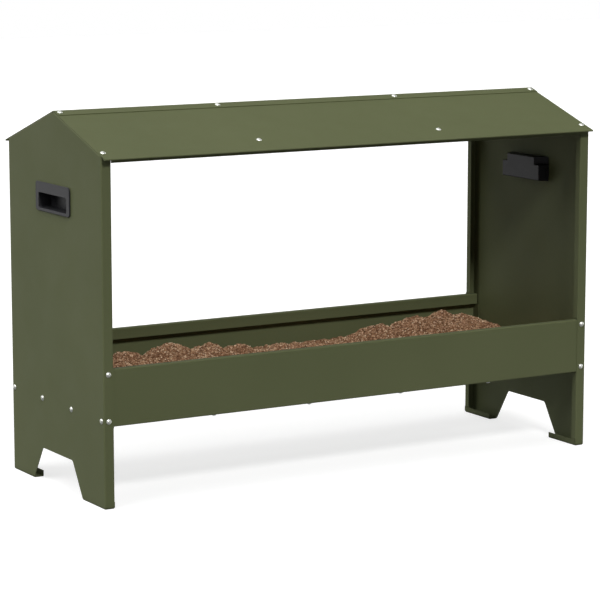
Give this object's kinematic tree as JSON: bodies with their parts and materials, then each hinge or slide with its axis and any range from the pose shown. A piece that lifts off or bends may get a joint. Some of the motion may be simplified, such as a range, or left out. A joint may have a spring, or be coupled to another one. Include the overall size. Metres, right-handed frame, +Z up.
{
  "type": "covered poultry trough feeder",
  "caption": "Long open feed trough of folded sheet steel between two gabled side panels with feet, under a pitched roof, with recessed carrying handles.",
  "frame": {"origin": "on the ground at the middle of the feeder", "axes": "+X along the trough, +Y from the front to the rear, +Z up"},
  "size_m": [1.006, 0.3944, 0.6591],
  "materials": {
    "painted_steel": "matt olive-green powder coat",
    "black_plastic": "fine-textured moulded black",
    "zinc": "bright zinc plate",
    "grain": "loose dry crumb feed"
  },
  "bodies": {
    "root": {"left_side_panel": "painted_steel", "right_side_panel": "painted_steel", "roof_front_sheet": "painted_steel", "roof_rear_sheet": "painted_steel", "left_roof_brace": "painted_steel", "right_roof_brace": "painted_steel", "trough_front_panel": "painted_steel", "trough_rear_panel": "painted_steel", "trough_bottom_pan": "painted_steel", "left_handle": "black_plastic", "right_handle": "black_plastic", "feed": "grain", "ridge_screws": "zinc", "ridge_nuts": "zinc", "front_eave_screws": "zinc", "front_eave_nuts": "zinc", "rear_eave_screws": "zinc", "rear_eave_nuts": "zinc", "front_flange_screws": "zinc", "front_flange_nuts": "zinc", "rear_flange_screws": "zinc", "rear_flange_nuts": "zinc", "left_side_screws": "zinc", "left_side_nuts": "zinc", "right_side_screws": "zinc", "right_side_nuts": "zinc", "front_pan_screws": "zinc", "front_pan_nuts": "zinc", "rear_pan_screws": "zinc", "rear_pan_nuts": "zinc"}
  },
  "joints": []
}
